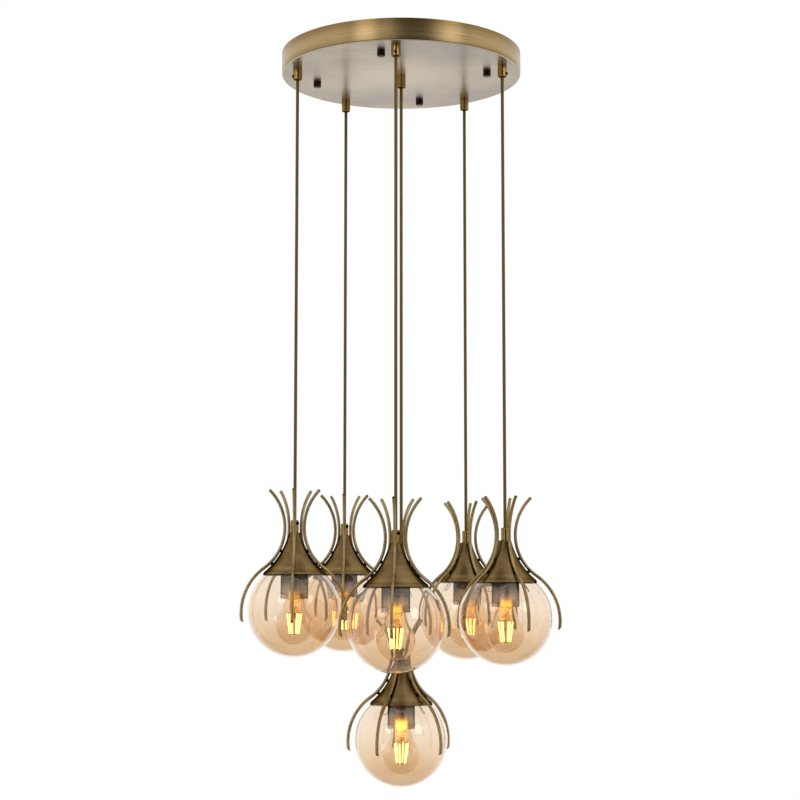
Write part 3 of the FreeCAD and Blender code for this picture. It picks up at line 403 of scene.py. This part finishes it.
def braided_sleeve():
    """Braided rayon sleeve over the cord, gold-brown and silky: two sets of slanted threads that cross, drawn a
    little coarser than real ones so that they show. The map gives the share of the turn and the metres along
    the cord."""
    material, tree = start_material("braided_rayon")
    chart = add(tree, "ShaderNodeSeparateXYZ", {0: add(tree, "ShaderNodeUVMap", uv_map="Surface").outputs[0]})
    around_cord = add(tree, "ShaderNodeMath", {0: chart.outputs[0], 1: 16 * math.pi}, operation="MULTIPLY").outputs[0]
    along_cord = add(tree, "ShaderNodeMath", {0: chart.outputs[1], 1: 2 * math.pi / 0.0024},
                     operation="MULTIPLY").outputs[0]
    left = add(tree, "ShaderNodeMath", {0: around_cord, 1: along_cord}, operation="ADD").outputs[0]
    right = add(tree, "ShaderNodeMath", {0: around_cord, 1: along_cord}, operation="SUBTRACT").outputs[0]
    left = add(tree, "ShaderNodeMath", {0: left}, operation="SINE").outputs[0]
    right = add(tree, "ShaderNodeMath", {0: right}, operation="SINE").outputs[0]
    crossing = add(tree, "ShaderNodeMath", {0: left, 1: right}, operation="MULTIPLY").outputs[0]
    share = add(tree, "ShaderNodeMapRange", {"Value": crossing, "From Min": -1.0, "From Max": 1.0}).outputs[0]
    colour = add(tree, "ShaderNodeMix", {0: share, 6: paint("#352807"), 7: paint("#77611f")}, data_type="RGBA")
    bump = add(tree, "ShaderNodeBump", {"Height": share, "Strength": 0.4, "Distance": 0.0002}).outputs[0]
    shader = add(tree, "ShaderNodeBsdfPrincipled", {"Base Color": colour.outputs[2], "Roughness": 0.45,
                                                    "Specular IOR Level": 0.25, "Normal": bump})
    add(tree, "ShaderNodeOutputMaterial", {"Surface": shader.outputs[0]})
    return material


canopy_finish = canopy_brass()
turned_brass = brushed_brass("turned_antique_brass", "#b0925a", "#7a5f33", (60, 60, 900), 0.22, edge="#5a4628",
                             streak=0.6)
tube_brass = brushed_brass("drawn_antique_brass", "#a8946a", "#887450", (60, 60, 60), 0.27, cloud=20.0)
bronze = dark_metal("blackened_bronze", "#17110c", "#3a2b1c", 0.9)
wire_steel = dark_metal("oil_blackened_spring_steel", "#2c261e", "#5a4f3e", 1.0)
zinc = zinc_plated()
plastic = block_plastic()
sleeve = braided_sleeve()
globe_glass = blown_glass("champagne_blown_glass", "#fbf0e2", "#eed8bb", 0.05, 0.75)
lamp_glass = blown_glass("lamp_bulb_glass", "#faf3e4", "#fbf3e6", 0.52, 0.74)
stem_glass = lit_stem()
phosphor = filament_light()

for name, finish in {"canopy_pan": canopy_finish, "ceiling_bracket": zinc, "cap_nuts": bronze,
                     "cord_grips": turned_brass, "grip_screws": bronze, "terminal_block": plastic}.items():
    NODES[name].material_slots[0].material = finish
for n in PENDANTS:
    spot = rim_spot(n)
    # rings of the spun cap: painted shade in a dark line at its rim, where the globe's mouth sits, and a painted
    # highlight in a paler ring 10 mm above it
    cap_brass = brushed_brass(f"spun_antique_brass_{n}", "#8d7550", "#665232", (22, 22, 400), 0.3, spot.tolist(),
                              "#241909", 0.2, 24.0,
                              ((0.0, 0.0012, "#2a1d0b", 0.9), (0.0095, 0.006, "#a08a62", 0.5)))
    neck_brass = brushed_brass(f"turned_antique_brass_{n}", "#b0925a", "#7a5f33", (60, 60, 900), 0.22, spot.tolist(),
                               "#5a4628", 0.6, barrel=0.00635)
    # painted shadow: the cup darkens towards its top, under the cap
    cup_brass = brushed_brass(f"pressed_antique_brass_{n}", "#ae9d8a", "#988775", (24, 24, 90), 0.28, spot.tolist(),
                              "#4c3e30", 0.1, 12.0, ((-0.004, 0.024, "#2c231a", 0.9),))
    for part, finish in {"neck_grip": neck_brass, "flared_cap": cap_brass, "arms": tube_brass,
                         "arm_pins": bronze, "lamp_holder": cup_brass}.items():
        NODES[f"{part}_{n}"].material_slots[0].material = finish


# ---- Cords: straight and taut, from the mouth of the cord grip to the neck grip ----
# Each route is top, middle and foot, in metres
CORD_ROUTES = {
    1: ((-0.17111, -0.04681, -0.0540), (-0.17111, -0.04681, -0.4222), (-0.17111, -0.04681, -0.7903)),
    2: ((-0.09740, 0.14827, -0.0540), (-0.09740, 0.14827, -0.4216), (-0.09740, 0.14827, -0.7892)),
    3: ((-0.00836, -0.17720, -0.0540), (-0.00836, -0.17720, -0.43195), (-0.00836, -0.17720, -0.8099)),
    4: ((0.11092, 0.13845, -0.0540), (0.11092, 0.13845, -0.42785), (0.11092, 0.13845, -0.8017)),
    5: ((0.16595, -0.06271, -0.0540), (0.16595, -0.06271, -0.4284), (0.16595, -0.06271, -0.8028)),
    6: ((0.0, 0.0, -0.0540), (0.0, 0.0, -0.52625), (0.0, 0.0, -0.9985)),
}
for n, route in CORD_ROUTES.items():
    line = bpy.data.curves.new(f"cord_route_{n}", "CURVE")
    line.dimensions = "3D"
    spline = line.splines.new("NURBS")
    spline.points.add(len(route) - 1)
    spline.points.foreach_set("co", np.array([(*p, 1.0) for p in route], np.float32).ravel())
    spline.order_u = 3
    spline.use_endpoint_u = True
    spline.resolution_u = 24
    holder = bpy.data.objects.new(f"cord_route_{n}", line)
    drawn = bpy.data.meshes.new_from_object(holder)
    followed = np.empty(len(drawn.vertices) * 3, np.float32)
    drawn.vertices.foreach_get("co", followed)
    followed = followed.reshape(-1, 3).astype(float)
    bpy.data.objects.remove(holder)
    bpy.data.meshes.remove(drawn)
    # the two end rows close the sleeve
    path = np.concatenate([followed[:1], followed, followed[-1:]]) / MM
    path[0, 2] += 1e-4
    path[-1, 2] -= 1e-4
    radii = np.full(len(path), 2.6)
    radii[[0, -1]] = 0
    cord = make(f"cord_sleeve_{n}", [sweep(path, radii, (1, 0, 0), 32)], (0, 0, 0), 0, sleeve, f"cord_{n}",
                "cord_sleeve", f"cord_{n}")


# ---- Globes: 150 mm balls of blown glass, 2 mm thick, with a fire-polished mouth ----
# The lip is a round bead; the outer and the inner sphere stop just below the level of the mouth, by 1.2 degrees
BORE_RADIUS, LIP, LIP_RADIUS, LIP_START = BALL_RADIUS - BALL_WALL, (40.9, 4.0), 1.15, 1.2
outer_mouth, inner_mouth = (math.degrees(math.asin((MOUTH_LEVEL - BALL[1]) / radius)) - LIP_START
                            for radius in (BALL_RADIUS, BORE_RADIUS))
globe_profile = np.concatenate([
    arc(BALL, BALL_RADIUS, -90, outer_mouth, 72),
    arc(LIP, LIP_RADIUS, 35, 145, 7),
    arc(BALL, BORE_RADIUS, inner_mouth, -90, 72),
])
globe_profile[[0, -1], 0] = 0
for n in PENDANTS:
    make(f"globe_glass_{n}", [lathe(globe_profile, 128)], rim_spot(n), 0, globe_glass, f"globe_{n}", "amber_glass",
         f"globe_{n}")

# ---- Springs: a plate with three bent wires that grip the mouth of the globe from inside ----
# A wire runs out and down from the plate in one slanted plane: two straight legs and a foot with round bends,
# worked out as (way down the slope, way across). In millimetres: radius of the wire, distance and level of its
# root, its way out and down, half the gap between its legs, and the radius of its bends.
WIRE, ROOT, ROOT_LEVEL, WAY_OUT, WAY_DOWN, HALF_GAP, BEND = 0.45, 23, 8.7, 15.2, 23.6, 4.5, 3
slope = math.atan2(WAY_DOWN, WAY_OUT)
leg = math.hypot(WAY_DOWN, WAY_OUT)
legs = np.concatenate([[(0, -HALF_GAP)], arc((leg - BEND, BEND - HALF_GAP), BEND, -90, 0, 7),
                       arc((leg - BEND, HALF_GAP - BEND), BEND, 0, 90, 7), [(0, HALF_GAP)]])
wire_line = np.stack([ROOT + legs[:, 0] * math.cos(slope), legs[:, 1], ROOT_LEVEL - legs[:, 0] * math.sin(slope)], 1)
# the two end rows close the wire
wire_line = np.concatenate([wire_line[:1] + (0, 0, 1e-4), wire_line, wire_line[-1:] + (0, 0, 1e-4)])
wire_radii = np.full(len(wire_line), WIRE)
wire_radii[[0, -1]] = 0
spring_wire = sweep(wire_line, wire_radii, (math.sin(slope), 0, math.cos(slope)), 10)
spring_plate = lathe([(27, 9.1), (27, 9.9), (26.9, 10), (5.1, 10), (5, 9.9), (5, 9.1), (5.1, 9), (26.9, 9),
                      (27, 9.1)])
for n in PENDANTS:
    make(f"globe_springs_{n}", [spring_plate] + around(spring_wire, 3), rim_spot(n), SPRING_TURN[n], wire_steel,
         f"pendant_{n}", "plated_steel", f"springs_{n}")

# ---- Lamps: clear bulb, screw cap, stem with wires, and six lit sticks ----
# The bulb is a 60 mm ball that runs up into a neck along an arc; the sticks lean inward from top to foot
LAMP, LAMP_RADIUS, LAMP_WALL = (0, -81.7), 30, 0.8
NECK_BEND, NECK_RADIUS = (65.7, -35.7), 50.2
TOP, FOOT = np.array([11.5, 0, -62.3]), np.array([7.32, 0, -94.03])
bulb_outside = np.concatenate([arc(LAMP, LAMP_RADIUS, -90, 35, 40), arc(NECK_BEND, NECK_RADIUS, 214, 180, 18),
                               [(12.5, -32.3)]])
bulb_inside = np.concatenate([[(11.7, -32.3)], arc(NECK_BEND, NECK_RADIUS + LAMP_WALL, 180, 214, 18),
                              arc(LAMP, LAMP_RADIUS - LAMP_WALL, 35, -90, 40)])
bulb_profile = np.concatenate([bulb_outside, bulb_inside])
bulb_profile[[0, -1], 0] = 0
stem_profile = np.concatenate([[(0, -60.3)], arc((5.8, -56.8), 3.5, -90, 0, 8), arc((17.8, -48), 8.2, 180, 165, 4),
                               [(10.6, -38), (10.9, -33.0), (0, -33.0)]])
# the coiled wire in the stem: three and a half turns, 12 mm long
COIL_RADIUS, COIL_TOP, COIL_LONG = 4.6, -49.5, 12
share = np.linspace(0, 1, 73)
coil = np.stack([COIL_RADIUS * np.cos(share * 7 * np.pi), COIL_RADIUS * np.sin(share * 7 * np.pi),
                 COIL_TOP - COIL_LONG * share], 1)
# the thread of the screw cap: radius and level follow one helical ridge, 3.6 mm to the turn
t = np.linspace(0, 2 * np.pi, 48, endpoint=False)
THREAD_PITCH, THREAD_RADIUS, THREAD_HIGH = 3.62, 12.45, 0.45
level = np.linspace(-31.4, -11.5, 84)[:, None]
ridge = THREAD_RADIUS + THREAD_HIGH * np.cos(2 * np.pi * level / THREAD_PITCH + t)
thread = (np.stack([ridge * np.cos(t), ridge * np.sin(t), level + 0 * t], 2),
          np.zeros((84, 49, 2)))
cap_ends = [lathe([(0, -32.2), (12.2, -32.2), (12.4, -31.4)], 48),
            lathe([(12.4, -11.5), (10.5, -9.2), (6, -8.4), (4.8, -8.3), (4.2, -6.4), (0, -6.15)], 48)]
for n in PENDANTS:
    place = (rim_spot(n), LAMP_TURN[n])
    make(f"lamp_bulb_{n}", [lathe(bulb_profile, 96)], *place, lamp_glass, f"bulb_{n}", "lamp_glass", f"bulb_{n}")
    make(f"lamp_stem_{n}", [lathe(stem_profile, 48)], *place, stem_glass, f"bulb_{n}", "lamp_glass", f"bulb_{n}")
    make(f"lamp_cap_{n}", [thread] + cap_ends, *place, turned_brass, f"bulb_{n}", "antique_brass", f"bulb_{n}")
    wires = [rod((0, 0, -54), (0, 0, -96.0), 0.45, rows=3), sweep(coil, 0.35, (0, 0, 1), 8)]
    wires += around(rod((0, 0, -57.5), TOP + (0, 0, 0.3), 0.4), 6) + around(rod((0, 0, -95.2), FOOT, 0.4), 6)
    make(f"lamp_wires_{n}", wires, *place, turned_brass, f"bulb_{n}", "antique_brass", f"bulb_{n}")
    make(f"lamp_sticks_{n}", around(rod(TOP, FOOT, 0.95, 16, 6, 1.0), 6), *place, phosphor, f"bulb_{n}",
         "lamp_glass", f"bulb_{n}")


# ---- Floor, world and lamps of the studio ----
# a round sheet of paper 7.5 m in radius, 4.2 m below the ceiling, that turns into light towards its edge
FLOOR_RADIUS, FLOOR_LEVEL, RINGS, SPOKES = 7.5, -4.2, 26, 96
floor_material, tree = start_material("pale_studio_floor")
where = add(tree, "ShaderNodeTexCoord").outputs["Object"]
flat = add(tree, "ShaderNodeVectorMath", {0: where, 1: (1, 1, 0)}, operation="MULTIPLY").outputs[0]
reach = add(tree, "ShaderNodeVectorMath", {0: flat}, operation="LENGTH").outputs["Value"]
fade = add(tree, "ShaderNodeMapRange", {"Value": reach, "From Min": 2.0, "From Max": 7.0},
           interpolation_type="SMOOTHSTEP").outputs[0]
fibre = add(tree, "ShaderNodeTexNoise", {"Vector": where, "Scale": 60.0, "Detail": 3.0}).outputs[0]
pale = add(tree, "ShaderNodeMix", {0: fibre, 6: paint("#f1f0ee"), 7: paint("#f8f7f5")}, data_type="RGBA").outputs[2]
paper = add(tree, "ShaderNodeBsdfDiffuse", {"Color": pale}).outputs[0]
light = add(tree, "ShaderNodeEmission", {"Color": (1, 1, 1, 1), "Strength": 1.0}).outputs[0]
mixed = add(tree, "ShaderNodeMixShader", {0: fade, 1: paper, 2: light})
add(tree, "ShaderNodeOutputMaterial", {"Surface": mixed.outputs[0]})
floor_mesh = bpy.data.meshes.new("studio_floor")
r = np.linspace(0, FLOOR_RADIUS, RINGS)[:, None]
a = np.linspace(0, 2 * np.pi, SPOKES, endpoint=False)
ring = np.stack([r * np.cos(a), r * np.sin(a), 0 * r * a + FLOOR_LEVEL], 2).reshape(-1, 3)
index = np.arange(RINGS * SPOKES).reshape(RINGS, SPOKES)
quads = np.stack([index[:-1], index[1:], np.roll(index, -1, 1)[1:], np.roll(index, -1, 1)[:-1]], 2).reshape(-1, 4)
floor_mesh.from_pydata(ring.tolist(), [], quads.tolist())
floor_mesh.materials.append(floor_material)
floor = bpy.data.objects.new("studio_floor", floor_mesh)
scene.collection.objects.link(floor)

world = bpy.data.worlds.new("studio")
scene.world = world
world.use_nodes = True
tree = world.node_tree
tree.nodes.clear()
path = add(tree, "ShaderNodeLightPath")
seen = add(tree, "ShaderNodeMath", {0: path.outputs["Is Camera Ray"], 1: path.outputs["Is Glossy Ray"]},
           operation="MAXIMUM").outputs[0]
seen = add(tree, "ShaderNodeMath", {0: seen, 1: path.outputs["Is Transmission Ray"]}, operation="MAXIMUM").outputs[0]
room = add(tree, "ShaderNodeBackground", {"Color": (1, 1, 1, 1), "Strength": 0.5}).outputs[0]
white = add(tree, "ShaderNodeBackground", {"Color": (1, 1, 1, 1), "Strength": 1.0}).outputs[0]
mixed = add(tree, "ShaderNodeMixShader", {0: seen, 1: room, 2: white})
add(tree, "ShaderNodeOutputWorld", {"Surface": mixed.outputs[0]})


def aim(thing, spot):
    """Put a thing at a spot with its -Z side towards the middle of the object."""
    away = np.array(spot) - (0, 0, -0.65)
    thing.location = spot
    thing.rotation_euler = (math.acos(away[2] / np.linalg.norm(away)), 0, math.atan2(away[1], away[0]) + math.pi / 2)
    scene.collection.objects.link(thing)


def card(name, points, columns, shade):
    """A sheet that only shiny surfaces and glass see: rows and columns of points, and a function that makes its
    light."""
    card_material, tree = start_material(name)
    where = add(tree, "ShaderNodeTexCoord").outputs["Object"]
    glow = add(tree, "ShaderNodeEmission", {"Color": (1, 1, 1, 1), "Strength": shade(tree, where)}).outputs[0]
    add(tree, "ShaderNodeOutputMaterial", {"Surface": glow})
    mesh = bpy.data.meshes.new(name)
    index = np.arange(len(points)).reshape(-1, columns)
    quads = np.stack([index[:-1, :-1], index[:-1, 1:], index[1:, 1:], index[1:, :-1]], 2).reshape(-1, 4)
    mesh.from_pydata(points.tolist(), [], quads.tolist())
    mesh.materials.append(card_material)
    sheet = bpy.data.objects.new(name, mesh)
    sheet.visible_camera = sheet.visible_diffuse = sheet.visible_shadow = False
    return sheet


DISC_RADIUS = 0.9


def soft_disc(tree, where):
    """Strength of a softbox face: full in its inner half, falling smoothly to nothing at its edge."""
    reach = add(tree, "ShaderNodeVectorMath", {0: where}, operation="LENGTH").outputs["Value"]
    return add(tree, "ShaderNodeMapRange", {"Value": reach, "From Min": DISC_RADIUS, "From Max": 0.45, "To Max": 2.7},
               interpolation_type="SMOOTHSTEP").outputs[0]


for side, spot in (("left", (-1.75, -2.7, 0.6)), ("right", (2.3, -2.15, 0.45))):
    data = bpy.data.lights.new(f"softbox_{side}", "AREA")
    data.shape = "RECTANGLE"
    data.size, data.size_y, data.energy = 1.3, 1.6, 26
    lamp = bpy.data.objects.new(f"softbox_{side}", data)
    aim(lamp, spot)
    # shiny surfaces see a face with soft edges in its place
    lamp.visible_glossy = False
    x, y = np.meshgrid(np.linspace(-DISC_RADIUS, DISC_RADIUS, 5), np.linspace(-DISC_RADIUS, DISC_RADIUS, 5))
    face = card(f"softbox_face_{side}", np.stack([x, y, 0 * x], 2).reshape(-1, 3), 5, soft_disc)
    aim(face, spot)


for n in PENDANTS:
    # a lit lamp's light, which the front of its globe throws back onto the holder's cup
    data = bpy.data.lights.new(f"glow_{n}", "AREA")
    data.shape = "RECTANGLE"
    data.size, data.size_y, data.energy, data.spread = 0.1, 0.012, 0.016 * LAMP_GLOW[n], math.radians(150)
    data.color = paint("#ffc860")[:3]
    glow = bpy.data.objects.new(f"glow_{n}", data)
    glow.location = rim_spot(n) + np.array([0, -52, -36]) * MM
    glow.rotation_euler = (math.radians(95), 0, 0)
    glow.visible_camera = glow.visible_transmission = False
    scene.collection.objects.link(glow)


# The dark card: radius, middle, and where it ends dark and is as light as the room, in degrees from the middle
CARD_RADIUS, CARD_MIDDLE, CARD_DARK, CARD_LIGHT = 2.6, 11, 12, 26


def dark_card(tree, where):
    """Strength of the card beside the camera: as the room at its edges and black in its middle."""
    along = add(tree, "ShaderNodeSeparateXYZ", {0: where})
    turn = add(tree, "ShaderNodeMath", {0: along.outputs[0], 1: along.outputs[1]}, operation="DIVIDE").outputs[0]
    turn = add(tree, "ShaderNodeMath", {0: turn, 1: -1.0}, operation="MULTIPLY").outputs[0]
    turn = add(tree, "ShaderNodeMath", {0: turn}, operation="ARCTANGENT").outputs[0]
    off = add(tree, "ShaderNodeMath", {0: turn, 1: math.radians(CARD_MIDDLE)}, operation="SUBTRACT").outputs[0]
    off = add(tree, "ShaderNodeMath", {0: off}, operation="ABSOLUTE").outputs[0]
    return add(tree, "ShaderNodeMapRange", {
        "Value": off, "From Min": math.radians(CARD_DARK), "From Max": math.radians(CARD_LIGHT), "To Min": 0.01,
        "To Max": 1.0}, interpolation_type="SMOOTHSTEP").outputs[0]


u, v = np.meshgrid(np.radians(np.linspace(CARD_MIDDLE - CARD_LIGHT, CARD_MIDDLE + CARD_LIGHT, 14)),
                   np.linspace(-2.4, 1.4, 5))
scene.collection.objects.link(card("dark_card", np.stack([CARD_RADIUS * np.sin(u), -CARD_RADIUS * np.cos(u), v],
                                                         2).reshape(-1, 3), 14, dark_card))

scene.view_settings.view_transform = "Standard"
scene.cycles.max_bounces = 28
scene.cycles.transmission_bounces = 28
scene.cycles.glossy_bounces = 8
scene.cycles.transparent_max_bounces = 32
